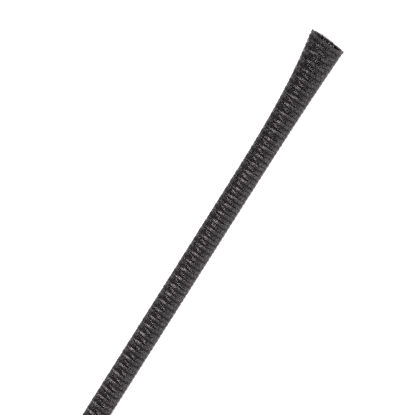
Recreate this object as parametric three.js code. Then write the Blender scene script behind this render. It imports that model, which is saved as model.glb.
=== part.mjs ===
// A braided expandable sleeve for cables: one length of tubular braid of plastic
// monofilament, cut square at one end and opened into a lopsided mouth at the other.
// Millimetres, +Z up. The sleeve lies along X with its mouth towards +X, and rests on z = 0.
import * as THREE from "three";

// Body of the sleeve, at rest
const LENGTH = 305; // one foot, as such sleeving is cut
const OUTER_DIAMETER = 8;
const WALL = 0.6; // two crossing layers of 0.25 mm filament and their bulge

// Mouth: how far each side swings out by the cut edge, and the length over which it does
const FLARE_LENGTH = 60;
const FLARE_LEFT = 3.8; // +Y side
const FLARE_RIGHT = 0.8; // -Y side

// Facets
const SIDES = 24;
const FLARE_STEPS = 14;

const BODY_RADIUS = OUTER_DIAMETER / 2;
const MOUTH_X = LENGTH / 2;

// How far the mouth has opened at x, from 0 where the body ends to 1 at the cut edge.
function opening(x) {
  const share = Math.max(0, 1 - (MOUTH_X - x) / FLARE_LENGTH);
  return share ** 3;
}

// Outer radius at x, the mean of the left and the right side.
function outerRadius(x) {
  return BODY_RADIUS + (opening(x) * (FLARE_LEFT + FLARE_RIGHT)) / 2;
}

// Stations along the sleeve: the plain end, then the steps of the mouth.
function stations() {
  const xs = [-MOUTH_X];
  for (let i = 0; i <= FLARE_STEPS; i += 1) {
    xs.push(MOUTH_X - FLARE_LENGTH * (1 - i / FLARE_STEPS));
  }
  return xs;
}

// The wall's section, turned about the sleeve's own axis: up the outside, back down the bore.
function wallProfile() {
  const outside = stations().map((x) => new THREE.Vector2(outerRadius(x), x));
  const bore = outside.map((p) => new THREE.Vector2(p.x - WALL, p.y)).reverse();
  return [...outside, ...bore, outside[0].clone()];
}

// The turned tube, laid along X with a facet underneath. Each ring of it is then moved
// sideways by the difference of the two flares and raised so that all rings share one
// lowest line: the sleeve lies flat on what carries it, and its mouth opens up and left.
// The cut edge, the widest ring, stays centred on y = 0.
function sleeveGeometry() {
  const turned = new THREE.LatheGeometry(wallProfile(), SIDES);
  turned.rotateY(Math.PI / SIDES);
  turned.rotateZ(-Math.PI / 2);
  const facetDrop = Math.cos(Math.PI / SIDES);
  const position = turned.getAttribute("position");
  for (let i = 0; i < position.count; i += 1) {
    const x = position.getX(i);
    const sideways = ((opening(x) - 1) * (FLARE_LEFT - FLARE_RIGHT)) / 2;
    position.setY(i, position.getY(i) + sideways);
    position.setZ(i, position.getZ(i) + outerRadius(x) * facetDrop);
  }
  turned.computeVertexNormals();
  return turned;
}

const filament = new THREE.MeshStandardMaterial({
  color: 0x2b2a2b,
  roughness: 0.45,
  metalness: 0,
});

const sleeve = new THREE.Mesh(sleeveGeometry(), filament);
sleeve.name = "braided_sleeve";

const part = new THREE.Group();
part.add(sleeve);

export default part;
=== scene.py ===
"""A braided expandable sleeve for cables, lying on a pale floor.

The sleeve is a tubular braid of black polyester monofilament: 18 ribbons of filaments wind
to the right and 18 to the left, each over one and under one. One end is opened into a
lopsided mouth. Both ends have the fused rim that a hot knife leaves.
Everything is in metres, in the row frame: X along the sleeve towards its mouth, Z up.
"""

import math

import bpy
import numpy as np
from mathutils import Matrix, Vector


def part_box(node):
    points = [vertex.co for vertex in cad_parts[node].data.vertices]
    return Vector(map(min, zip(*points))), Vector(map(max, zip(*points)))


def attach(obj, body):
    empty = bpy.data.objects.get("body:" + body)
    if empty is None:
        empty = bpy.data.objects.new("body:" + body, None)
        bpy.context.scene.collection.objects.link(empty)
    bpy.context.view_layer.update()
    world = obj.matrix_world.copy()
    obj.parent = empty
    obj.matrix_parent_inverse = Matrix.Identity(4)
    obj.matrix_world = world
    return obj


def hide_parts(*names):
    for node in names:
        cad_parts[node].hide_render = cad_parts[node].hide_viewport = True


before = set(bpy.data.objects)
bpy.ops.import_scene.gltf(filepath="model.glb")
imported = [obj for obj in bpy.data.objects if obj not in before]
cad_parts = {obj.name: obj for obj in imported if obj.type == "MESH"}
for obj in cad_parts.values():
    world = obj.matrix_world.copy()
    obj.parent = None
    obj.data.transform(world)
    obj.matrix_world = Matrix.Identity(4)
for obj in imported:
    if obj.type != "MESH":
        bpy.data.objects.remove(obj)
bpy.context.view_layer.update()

MM = 0.001

# The sleeve's outside, as the part's solid has it; the braid stands PROUD of it
LOW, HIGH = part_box("braided_sleeve")
END_X, MOUTH_X = LOW.x, HIGH.x
BODY_RADIUS = 4 * MM
PROUD = 0.15 * MM
FLARE_LENGTH = 60 * MM
FLARE_LEFT = 3.8 * MM
FLARE_RIGHT = 0.8 * MM

# The braid. The number of filaments in a ribbon and their width can't be read in the photo:
# real ones are assumed to be nearer 0.25 mm, below a pixel, so three coarser ones are drawn
CARRIERS = 18
RIBBON = 3
FILAMENT = 0.4 * MM
PITCH = 3.25 * MM
MOUTH_PITCH = 3.1 * MM
LIFT = 0.31 * MM
FLATNESS = 2.6
CROWN = 0.1 * MM
SKEW = 0.135
MOUTH_SKEW = 0.06
LOWER_CUT = 0.08
# Opening, looseness and wandering of the ribbons, as shares at the mouth and radians
MOUTH_SPREAD = 0.55
MOUTH_SWELL = 0.3
MOUTH_SHIFT = 0.15
LOOSE_BODY, LOOSE_MOUTH = 0.006, 0.02
STRAY_BODY, STRAY_MOUTH = 0.002, 0.006
LOOSE_WAVE = 30 * MM
STRAY_WAVE = 15 * MM
SHADE_WAVE = 25 * MM
# Painted shade on the filaments' shine: full below this swing, gone over this range above it,
# and how much of it is painted on the outer side of a ribbon's edge filaments
PAINTED_SHADE_BELOW = 0.78
PAINTED_SHADE_FADE = 0.17
SIDE_PAINTED_SHADE = 0.8
# Phases of the rings round each top: close together where a filament starts to dip, so that
# the tops shade flat
STATIONS = (-0.34, -0.17, -0.14, -0.1, 0.1, 0.14, 0.17, 0.34)
SIDES = 5
PIECES_A_HAND = 3
WIDE_SIDE = math.radians(-50)
CALM_LENGTH = 1.6 * MM

# The fused rims
RIM_HALF_LENGTH = 0.38 * MM
RIM_HALF_THICK = 0.3 * MM
RIM_WAVE = 0.12 * MM
RIM_STEPS = 288
RIM_SIDES = 12
LOOP_RADIUS = 0.065 * MM
LOOP_STEPS = 13
LOOP_SIDES = 6

# Camera and light. LENS_SOFTNESS_PX is the width of the pixel filter, and LAMP_TINT the slight
# red that the photo's greys have
FRAME_PX = 415
SENSOR = 36 * MM
FOCAL_PX = 3000
PX_A_METRE = 3070
LENS_SOFTNESS_PX = 1.9
LAMP_TINT = (1, 0.93, 0.955)
TILT = math.radians(13.5)
ROLL = math.radians(32.23)
LOOK_X = MOUTH_X - 67.9 * MM
LOOK_BESIDE = 5.54 * MM


def opening(x):
    """How far the mouth has opened: the cube of the share of the flare's length run by x."""
    return np.clip(1 - (MOUTH_X - x) / FLARE_LENGTH, 0, 1) ** 3


def outer_radius(x):
    """The body's radius, and at the mouth also the mean of what its two sides swing out."""
    return BODY_RADIUS + PROUD + opening(x) * (FLARE_LEFT + FLARE_RIGHT) / 2


def on_wall(x, angle, depth):
    """Points below the outside by depth. The angle is 0 on top and grows towards -Y.

    Each ring is a circle round (y, z), where z is its radius, so that all rings touch the
    floor, and y moves by half the difference of the two flares. A ring leans along the
    sleeve by SKEW times the sideways distance from its centre, as the braid has sheared,
    and less at the mouth, which was cut straighter. The mouth's lower half is cut back."""
    radius = outer_radius(x)
    centre_y = (opening(x) - 1) * (FLARE_LEFT - FLARE_RIGHT) / 2
    beside = -(radius - depth) * np.sin(angle)
    above = (radius - depth) * np.cos(angle)
    skew = SKEW + (MOUTH_SKEW - SKEW) * opening(x)
    x = x + skew * beside + LOWER_CUT * opening(x) * np.minimum(above, 0)
    x, beside, above = np.broadcast_arrays(x, centre_y + beside, radius + above)
    return np.stack([x, beside, above], axis=-1)


def mesh_piece(name, points, faces, material, attributes=()):
    """A piece from points and faces, which are arrays of corner numbers, one array a size of
    face. Attributes are (name, values) with a value or a vector for each point."""
    mesh = bpy.data.meshes.new(name)
    mesh.vertices.add(len(points))
    mesh.vertices.foreach_set("co", points.astype(np.float32).ravel())
    corners = np.concatenate([some.ravel() for some in faces]).astype(np.int32)
    sizes = np.concatenate([np.full(len(some), some.shape[1]) for some in faces])
    starts = np.concatenate([[0], np.cumsum(sizes)[:-1]]).astype(np.int32)
    mesh.loops.add(len(corners))
    mesh.loops.foreach_set("vertex_index", corners)
    mesh.polygons.add(len(starts))
    mesh.polygons.foreach_set("loop_start", starts)
    mesh.update(calc_edges=True)
    mesh.shade_smooth()
    for title, values in attributes:
        kind = "FLOAT" if values.ndim == 1 else "FLOAT_VECTOR"
        key = "value" if values.ndim == 1 else "vector"
        layer = mesh.attributes.new(title, kind, "POINT")
        layer.data.foreach_set(key, values.astype(np.float32).ravel())
    mesh.materials.append(material)
    piece = bpy.data.objects.new(name, mesh)
    bpy.context.scene.collection.objects.link(piece)
    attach(piece, "root")
    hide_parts("braided_sleeve")
    return piece


def tube_points(path, outward, radius, sides):
    """Rings of points round each point of the paths, which run along the last axis but one.

    A ring's point is the path's, plus radius times the cosine of its turn along outward,
    plus radius times its sine along the direction across the path."""
    along = np.gradient(path, axis=-2)
    along /= np.linalg.norm(along, axis=-1, keepdims=True)
    outward = outward - (outward * along).sum(-1, keepdims=True) * along
    outward /= np.linalg.norm(outward, axis=-1, keepdims=True)
    across = np.cross(along, outward)
    turn = (np.arange(sides) * 2 * math.pi / sides)[:, None]
    radius = np.broadcast_to(radius, path.shape[:-1])[..., None, None]
    return (
        path[..., None, :]
        + radius * np.cos(turn) * outward[..., None, :]
        + radius * np.sin(turn) * across[..., None, :]
    )


def tube_faces(tubes, rings, sides):
    """The faces of closed tubes, outward: quads between neighbouring rings and one face over
    each end, with point number (tube * rings + ring) * sides + side."""
    tube, ring, side = np.meshgrid(
        np.arange(tubes), np.arange(rings - 1), np.arange(sides), indexing="ij"
    )
    here = (tube * rings + ring) * sides
    after = (side + 1) % sides
    quads = np.stack([here + side, here + after, here + sides + after, here + sides + side], -1)
    first = np.arange(tubes)[:, None] * rings * sides + np.arange(sides)[::-1]
    last = (np.arange(tubes)[:, None] * rings + rings - 1) * sides + np.arange(sides)
    return quads.reshape(-1, 4), first, last


def wander(count, x, longest, seed):
    """Smooth waves that differ from row to row, with a mean square of about one."""
    dice = np.random.default_rng(seed)
    total = np.zeros((count, len(x)))
    for part in (1, 0.55, 0.31, 0.17):
        turn = dice.uniform(0, 2 * math.pi, (count, 1))
        stretch = dice.uniform(0.8, 1.25, (count, 1))
        total += np.sin(2 * math.pi * x / (longest * part * stretch) + turn)
    return total / math.sqrt(2)


def srgb(text):
    """An sRGB hex colour as linear red, green, blue and an alpha of one."""
    values = [int(text[i : i + 2], 16) / 255 for i in (1, 3, 5)]
    return [v / 12.92 if v <= 0.04045 else ((v + 0.055) / 1.055) ** 2.4 for v in values] + [1.0]


def add_node(tree, kind, settings=None, links=None):
    """Adds a node. settings are properties or input values by name, links are inputs' sources."""
    node = tree.nodes.new(kind)
    for key, value in (settings or {}).items():
        if key in node.inputs:
            node.inputs[key].default_value = value
        else:
            setattr(node, key, value)
    for key, source in (links or {}).items():
        tree.links.new(source, node.inputs[key])
    return node


def extruded_polyester():
    """Black polyester monofilament, extruded and drawn: near-black, smooth and waxy, so each
    filament shows one soft bright line along it and little colour of its own. Its shine is cut
    by an attribute mask in the dips and down the ribbons' sides: painted shade for the gaps."""
    material = bpy.data.materials.new("extruded_polyester_monofilament")
    material.use_nodes = True
    tree = material.node_tree
    tree.nodes.clear()
    lay = add_node(tree, "ShaderNodeAttribute", {"attribute_name": "lay"}).outputs["Vector"]
    shade = add_node(tree, "ShaderNodeAttribute", {"attribute_name": "shade"}).outputs["Fac"]
    painted_shade_mask = add_node(tree, "ShaderNodeAttribute", {"attribute_name": "painted_shade_mask"}).outputs["Fac"]
    # Painted shade: the specular level falls from 0.62 on the tops to 0.03 where the mask is 0, in
    # the dips and down the ribbons' sides
    shine = add_node(
        tree, "ShaderNodeMapRange", {"To Min": 0.03, "To Max": 0.62}, {"Value": painted_shade_mask}
    ).outputs["Result"]
    colour = add_node(
        tree,
        "ShaderNodeMixRGB",
        {"Color1": srgb("#0a090a"), "Color2": srgb("#161515")},
        {"Fac": shade},
    ).outputs["Color"]
    stretched = add_node(tree, "ShaderNodeVectorMath", {"operation": "MULTIPLY"}, {0: lay})
    stretched.inputs[1].default_value = (2.5, 2.5, 0.35)
    die_lines = add_node(
        tree,
        "ShaderNodeTexNoise",
        {"Scale": 1.0, "Detail": 2.0},
        {"Vector": stretched.outputs["Vector"]},
    ).outputs["Fac"]
    gloss = add_node(
        tree, "ShaderNodeMapRange", {"To Min": 0.14, "To Max": 0.26}, {"Value": die_lines}
    ).outputs["Result"]
    relief = add_node(
        tree, "ShaderNodeBump", {"Strength": 0.25, "Distance": 0.005 * MM}, {"Height": die_lines}
    ).outputs["Normal"]
    shader = add_node(
        tree,
        "ShaderNodeBsdfPrincipled",
        {"IOR": 1.5},
        {
            "Base Color": colour,
            "Roughness": gloss,
            "Normal": relief,
            "Specular IOR Level": shine,
        },
    )
    add_node(
        tree, "ShaderNodeOutputMaterial", links={"Surface": shader.outputs["BSDF"]}
    )
    return material


def fused_polyester():
    """Polyester that melted under the hot knife and set again: greyer and duller than the
    drawn filament, with the ripples and pinholes of a melt."""
    material = bpy.data.materials.new("fused_polyester")
    material.use_nodes = True
    tree = material.node_tree
    tree.nodes.clear()
    place = add_node(tree, "ShaderNodeTexCoord").outputs["Object"]
    ripple = add_node(
        tree,
        "ShaderNodeTexNoise",
        {"Scale": 1 / (0.6 * MM), "Detail": 3.0, "Roughness": 0.6},
        {"Vector": place},
    ).outputs["Fac"]
    colour = add_node(
        tree,
        "ShaderNodeMixRGB",
        {"Color1": srgb("#0d0c0d"), "Color2": srgb("#282627")},
        {"Fac": ripple},
    ).outputs["Color"]
    dull = add_node(
        tree, "ShaderNodeMapRange", {"To Min": 0.45, "To Max": 0.7}, {"Value": ripple}
    ).outputs["Result"]
    relief = add_node(
        tree, "ShaderNodeBump", {"Strength": 0.6, "Distance": 0.1 * MM}, {"Height": ripple}
    ).outputs["Normal"]
    shader = add_node(
        tree,
        "ShaderNodeBsdfPrincipled",
        {"IOR": 1.5, "Specular IOR Level": 0.28},
        {"Base Color": colour, "Roughness": dull, "Normal": relief},
    )
    add_node(
        tree, "ShaderNodeOutputMaterial", links={"Surface": shader.outputs["BSDF"]}
    )
    return material


def braid_phase():
    """Crossings passed along the sleeve: stations x from the plain end and, for each, the
    integral of dx over the braid's pitch there."""
    x = np.linspace(END_X, MOUTH_X, 2000)
    pitch = PITCH + (MOUTH_PITCH - PITCH) * opening(x)
    steps = np.diff(x) * (1 / pitch[1:] + 1 / pitch[:-1]) / 2
    return x, np.concatenate([[0], np.cumsum(steps)])


def crimp(phase):
    """The swing of a filament over and under, from 1 to -1: a cosine flattened at both ends,
    since a ribbon lies flat on the one it crosses and dips in the gaps between."""
    return np.tanh(FLATNESS * np.cos(2 * math.pi * phase)) / math.tanh(FLATNESS)


def filament_attributes(path, swing, calm, seed):
    """Three attributes for each point of the tubes round the paths. lay is a place for
    textures: the turn round the filament on two axes, moved by a chance amount for each
    filament, and the millimetres along it on the third. shade is a chance value for each
    filament that changes slowly along it. The third is a mask for painted shade: 1 on the tops,
    falling to 0 in the dips and down the sides of a ribbon, where it cuts the shine."""
    dice = np.random.default_rng(seed)
    count = path.shape[0] * path.shape[1]
    steps = np.linalg.norm(np.diff(path, axis=-2), axis=-1)
    run = np.concatenate([np.zeros(path.shape[:2] + (1,)), np.cumsum(steps, axis=-1)], axis=-1)
    turn = np.arange(SIDES) * 2 * math.pi / SIDES
    own = dice.uniform(0, 100, path.shape[:2] + (1, 1))
    run = run[..., None] / MM + 0 * turn
    lay = np.stack([np.cos(turn) + own + 0 * run, np.sin(turn) + 0 * run, run], axis=-1)
    shade = 0.5 + 0.22 * wander(count, path[0, 0, :, 0], SHADE_WAVE, seed + 50)
    shade = np.clip(shade, 0, 1).reshape(path.shape[:3])[..., None] + 0 * run
    # Painted shade mask: 1 on the tops, falling to 0 in the dips, and cut down the outer sides of a
    # ribbon's edge filaments
    top = np.maximum(np.clip((swing - PAINTED_SHADE_BELOW) / PAINTED_SHADE_FADE, 0, 1), 1 - calm)[..., None]
    place = np.sign(np.arange(RIBBON) - (RIBBON - 1) / 2)[:, None, None]
    painted_shade_mask = top * (1 - SIDE_PAINTED_SHADE * np.clip(place * np.sin(turn), 0, 1)) + 0 * run
    return lay, shade, painted_shade_mask


def braid_stations(hand, end):
    """Where the filaments have their rings, in crossings passed: round each of their tops at
    the phases of STATIONS, which are close together where a filament starts to dip."""
    tops = np.arange(0, end + 1) + (0 if hand > 0 else 0.5)
    w = (tops[:, None] + np.array(STATIONS)).ravel()
    return np.concatenate([[0], w[(w > 0.05) & (w < end - 0.05)], [end]])


def strands(hand, material):
    """The ribbons that wind one way, as tubes.

    Ribbon i stands at the angle 2 pi / CARRIERS times (i + hand * phase). A filament of it is
    beside that line by its place in the ribbon, and its height swings with the phase, which
    lifts it over one crossing ribbon and sinks it under the next. The opposite hand swings
    the opposite way. The braid has opened most on the mouth's wide side."""
    stations, phase = braid_phase()
    w = braid_stations(hand, phase[-1])
    rings = len(w)
    x = np.interp(w, phase, stations)
    i = np.arange(CARRIERS)[:, None, None]
    k = (np.arange(RIBBON) - (RIBBON - 1) / 2)[None, :, None]
    middle = outer_radius(x) - FILAMENT / 2 - LIFT
    local_pitch = PITCH + (MOUTH_PITCH - PITCH) * opening(x)
    lean = np.arctan(2 * math.pi * middle / CARRIERS / local_pitch)
    spread = 1 + MOUTH_SPREAD * opening(x)
    beside = k * FILAMENT * spread / (np.cos(lean) * middle)
    line = 2 * math.pi / CARRIERS * (i + hand * w)
    line = line + MOUTH_SHIFT * opening(x) ** 0.7 * np.sin(line - WIDE_SIDE)
    loose = LOOSE_BODY + LOOSE_MOUTH * opening(x)
    line = line + loose * wander(CARRIERS, x, LOOSE_WAVE, 5 + hand)[:, None, :]
    own = wander(CARRIERS * RIBBON, x, STRAY_WAVE, 9 + hand).reshape(CARRIERS, RIBBON, -1)
    angle = line + beside + (STRAY_BODY + STRAY_MOUTH * opening(x)) * own
    calm = np.clip(np.minimum(x - END_X, MOUTH_X - x) / CALM_LENGTH, 0, 1)
    swing = calm * crimp(w + (0 if hand > 0 else 0.5))
    across = 2 * k / (RIBBON - 1)
    radius = FILAMENT / 2 * (1 + MOUTH_SWELL * opening(x))
    depth = radius + LIFT * (1 - swing) + CROWN * calm * across**2 * (1 + swing) / 2
    path = on_wall(x, angle, depth)
    outward = on_wall(x, angle, depth - MM) - path
    points = tube_points(path, outward, radius, SIDES)
    lay, shade, painted_shade_mask = filament_attributes(path, swing, calm, 20 + hand)
    share = CARRIERS // PIECES_A_HAND
    for piece in range(PIECES_A_HAND):
        some = slice(piece * share, (piece + 1) * share)
        faces = tube_faces(share * RIBBON, rings, SIDES)
        hand_name = "right" if hand > 0 else "left"
        mesh_piece(
            f"{hand_name}_hand_ribbons_{piece + 1}",
            points[some].reshape(-1, 3),
            faces,
            material,
            (
                ("lay", lay[some].reshape(-1, 3)),
                ("shade", shade[some].ravel()),
                ("painted_shade_mask", painted_shade_mask[some].ravel()),
            ),
        )


def fused_rim(name, end_x, out, material):
    """The melted lip over the cut ends: a closed ring along the wall's middle whose section
    is an ellipse, longer along the sleeve than it is thick. It waves along the sleeve by a
    few sines of the angle. At the mouth it also stands up in a point on the left and swells
    into a bead on the right."""
    angle = np.arange(RIM_STEPS) * 2 * math.pi / RIM_STEPS
    wave = sum(np.sin(n * angle + n * n) / n**0.5 for n in (3, 7, 11, 18)) * RIM_WAVE / 2
    lumps = 1 + 0.12 * np.sin(18 * angle + 1) + 0.1 * np.sin(31 * angle) + 0.08 * np.sin(43 * angle)
    at_mouth = out > 0
    point = at_mouth * np.exp(-(((angle - math.radians(268)) / 0.13) ** 2))
    bead = at_mouth * np.exp(-(((angle - math.radians(84)) / 0.12) ** 2))
    long = RIM_HALF_LENGTH * lumps * (1 + 0.5 * bead + 0.2 * point)
    thick = RIM_HALF_THICK * lumps * (1 + 0.7 * bead)
    middle_x = end_x - out * RIM_HALF_LENGTH * 0.6 + wave + 0.45 * MM * point
    turn = (np.arange(RIM_SIDES) * 2 * math.pi / RIM_SIDES)[:, None]
    x = middle_x + long * np.cos(turn)
    depth = FILAMENT / 2 + LIFT - thick * np.sin(turn)
    points = on_wall(np.full(RIM_STEPS, end_x), angle, depth)
    points[..., 0] += x - end_x
    side, step = np.meshgrid(np.arange(RIM_SIDES), np.arange(RIM_STEPS), indexing="ij")
    next_side = (side + 1) % RIM_SIDES
    next_step = (step + 1) % RIM_STEPS
    number = np.arange(RIM_SIDES * RIM_STEPS).reshape(RIM_SIDES, RIM_STEPS)
    quads = np.stack(
        [number, number[next_side, step], number[next_side, next_step], number[side, next_step]], -1
    )
    mesh_piece(name, points.reshape(-1, 3), (quads.reshape(-1, 4),), material)


def stray_loops(material):
    """Thin loops of filament that stand a little past the mouth's lower lip."""
    share = np.linspace(0, 1, LOOP_STEPS)
    loops = ((-150, 13, 0.5), (-161, 10, 0.7), (-172, 12, 0.75), (166, 14, 0.4), (-128, 9, 0.4))
    paths, outwards = [], []
    for middle, width, height in loops:
        angle = np.radians(middle + width * (share - 0.5) * (1.2 + 0.4 * np.sin(math.pi * share)))
        x = np.full_like(angle, MOUTH_X)
        depth = FILAMENT / 2 + LIFT + 0.1 * MM * np.sin(2 * math.pi * share)
        path = on_wall(x, angle, depth)
        outwards.append(on_wall(x, angle, depth - MM) - path)
        path[:, 0] += height * MM * np.sin(math.pi * share) - 0.1 * MM
        paths.append(path)
    points = tube_points(np.array(paths), np.array(outwards), LOOP_RADIUS, LOOP_SIDES)
    faces = tube_faces(len(loops), LOOP_STEPS, LOOP_SIDES)
    mesh_piece("stray_loops", points.reshape(-1, 3), faces, material)


def floor():
    """A plain pale floor just under the sleeve: an opal sheet that glows a little, as a light
    table does, so that shadows on it stay faint."""
    size = 3.0
    mesh = bpy.data.meshes.new("floor")
    mesh.from_pydata(
        [(-size, -size, 0), (size, -size, 0), (size, size, 0), (-size, size, 0)], [], [(0, 1, 2, 3)]
    )
    material = bpy.data.materials.new("opal_acrylic_light_table")
    material.use_nodes = True
    shader = material.node_tree.nodes["Principled BSDF"]
    shader.inputs["Base Color"].default_value = srgb("#f4f4f4")
    shader.inputs["Roughness"].default_value = 0.9
    shader.inputs["Specular IOR Level"].default_value = 0.1
    shader.inputs["Emission Color"].default_value = (1, 1, 1, 1)
    shader.inputs["Emission Strength"].default_value = 0.7
    mesh.materials.append(material)
    piece = bpy.data.objects.new("floor", mesh)
    bpy.context.scene.collection.objects.link(piece)


def softbox(name, turn, slant, distance, size, radiance):
    """A rectangular area light that glows evenly with that radiance and faces the sleeve.

    It stands at that distance from the point the camera looks at: turned by turn degrees
    from straight above towards the right, -Y, and by slant degrees towards the mouth."""
    turn, slant = math.radians(turn), math.radians(slant)
    away = Vector(
        (
            math.sin(slant),
            -math.sin(turn) * math.cos(slant),
            math.cos(turn) * math.cos(slant),
        )
    )
    data = bpy.data.lights.new(name, "AREA")
    data.shape = "RECTANGLE"
    data.size, data.size_y = size
    data.energy = radiance * size[0] * size[1] * math.pi
    data.color = LAMP_TINT
    light = bpy.data.objects.new(name, data)
    place = Vector((LOOK_X, 0, BODY_RADIUS)) + distance * away
    side = away.cross(Vector((1, 0, 0))).normalized()
    long = side.cross(away)
    light.matrix_world = Matrix(
        (
            (long.x, side.x, away.x, place.x),
            (long.y, side.y, away.y, place.y),
            (long.z, side.z, away.z, place.z),
            (0, 0, 0, 1),
        )
    )
    bpy.context.scene.collection.objects.link(light)


def camera():
    """Looks down on the sleeve with a long lens from the side of its mouth, and is rolled so
    that the sleeve leans to the right."""
    data = bpy.data.cameras.new("camera")
    data.sensor_width = SENSOR * 1000
    data.lens = FOCAL_PX / FRAME_PX * SENSOR * 1000
    data.clip_end = 20
    eye = bpy.data.objects.new("camera", data)
    bpy.context.scene.collection.objects.link(eye)
    back = Vector((math.sin(TILT), 0, math.cos(TILT)))
    level_up = Vector((math.cos(TILT), 0, -math.sin(TILT)))
    level_right = level_up.cross(back)
    up = math.cos(ROLL) * level_up - math.sin(ROLL) * level_right
    right = up.cross(back)
    axis_y = (FLARE_RIGHT - FLARE_LEFT) / 2
    look = Vector((LOOK_X, axis_y + LOOK_BESIDE, BODY_RADIUS))
    place = look + back * (FOCAL_PX / PX_A_METRE)
    eye.matrix_world = Matrix(
        (
            (right.x, up.x, back.x, place.x),
            (right.y, up.y, back.y, place.y),
            (right.z, up.z, back.z, place.z),
            (0, 0, 0, 1),
        )
    )
    bpy.context.scene.camera = eye


def lights():
    """A narrow bright softbox high on the left for the band of glints, a broad one on the right
    for its even side, a small low one for the left edge, one past the mouth, and a pale room."""
    softbox("key_softbox", -21, -14, 0.4, (0.062, 0.23), 44)
    softbox("right_softbox", 60, -6, 0.6, (0.6, 0.38), 7)
    softbox("low_left_softbox", -80, -27, 0.33, (0.06, 0.06), 13)
    softbox("front_softbox", 0, 70, 0.6, (0.5, 0.4), 5)
    world = bpy.data.worlds.new("pale_room")
    world.use_nodes = True
    world.node_tree.nodes["Background"].inputs["Color"].default_value = (*LAMP_TINT, 1)
    world.node_tree.nodes["Background"].inputs["Strength"].default_value = 0.22
    bpy.context.scene.world = world


camera()
lights()
floor()
polyester = extruded_polyester()
strands(1, polyester)
strands(-1, polyester)
fused = fused_polyester()
fused_rim("mouth_rim", MOUTH_X, 1, fused)
fused_rim("plain_rim", END_X, -1, fused)
stray_loops(fused)
bpy.context.scene.view_settings.view_transform = "Standard"
bpy.context.scene.cycles.use_denoising = False
bpy.context.scene.cycles.filter_width = LENS_SOFTNESS_PX
